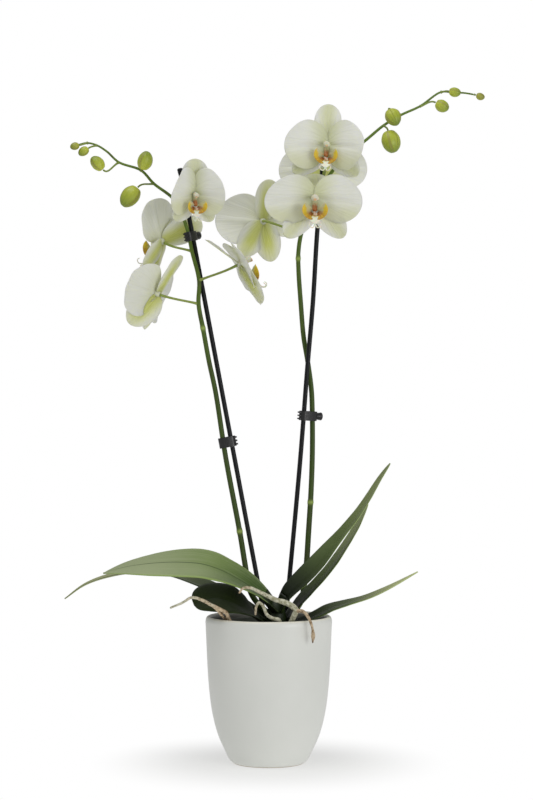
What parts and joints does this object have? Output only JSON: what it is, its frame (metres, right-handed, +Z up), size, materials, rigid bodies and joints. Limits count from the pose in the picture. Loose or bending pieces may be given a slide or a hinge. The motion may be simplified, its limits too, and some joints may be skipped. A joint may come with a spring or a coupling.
{
  "type": "potted orchid",
  "caption": "White moth orchid in a tapering white glazed pot, with flower spikes clipped to black stakes, strap leaves and aerial roots, made to stand on a flat surface.",
  "frame": {"origin": "middle of the pot's flat foot, where it rests", "axes": "+Z up along the pot's axis; -Y is the front of the plant, the side that the picture shows; +X is the picture's right"},
  "size_m": [0.4511, 0.1378, 0.7184],
  "materials": {
    "glaze": "satin glaze",
    "clear_plastic": "gloss",
    "bark": "matte",
    "leaf": "satin",
    "root": "matte",
    "stake": "satin",
    "stem": "satin",
    "clip": "satin",
    "petal": "satin",
    "lip": "satin",
    "bud": "satin"
  },
  "bodies": {
    "root": {"pot": "glaze", "nursery_pot": "clear_plastic", "bark": "bark", "crown": "leaf", "leaf_left_top": "leaf", "leaf_left_back": "leaf", "leaf_left_low": "leaf", "leaf_right_top": "leaf", "leaf_right_back": "leaf", "leaf_right_low": "leaf", "root_front": "root", "root_middle": "root", "root_left": "root", "stake_left": "stake", "stake_right": "stake", "spike_left": "stem", "spike_right": "stem", "clip_left_upper": "clip", "clip_left_lower": "clip", "clip_right_lower": "clip", "flower_left_1": "petal", "lip_left_1": "lip", "flower_left_2": "petal", "lip_left_2": "lip", "flower_left_3": "petal", "lip_left_3": "lip", "flower_left_4": "petal", "lip_left_4": "lip", "flower_right_1": "petal", "lip_right_1": "lip", "flower_right_2": "petal", "lip_right_2": "lip", "flower_right_3": "petal", "lip_right_3": "lip", "flower_right_4": "petal", "lip_right_4": "lip", "bud_left_1": "bud", "bud_left_2": "bud", "bud_left_3": "bud", "bud_left_4": "bud", "bud_left_5": "bud", "bud_right_1": "bud", "bud_right_2": "bud", "bud_right_3": "bud", "bud_right_4": "bud", "bud_right_5": "bud"}
  },
  "joints": []
}
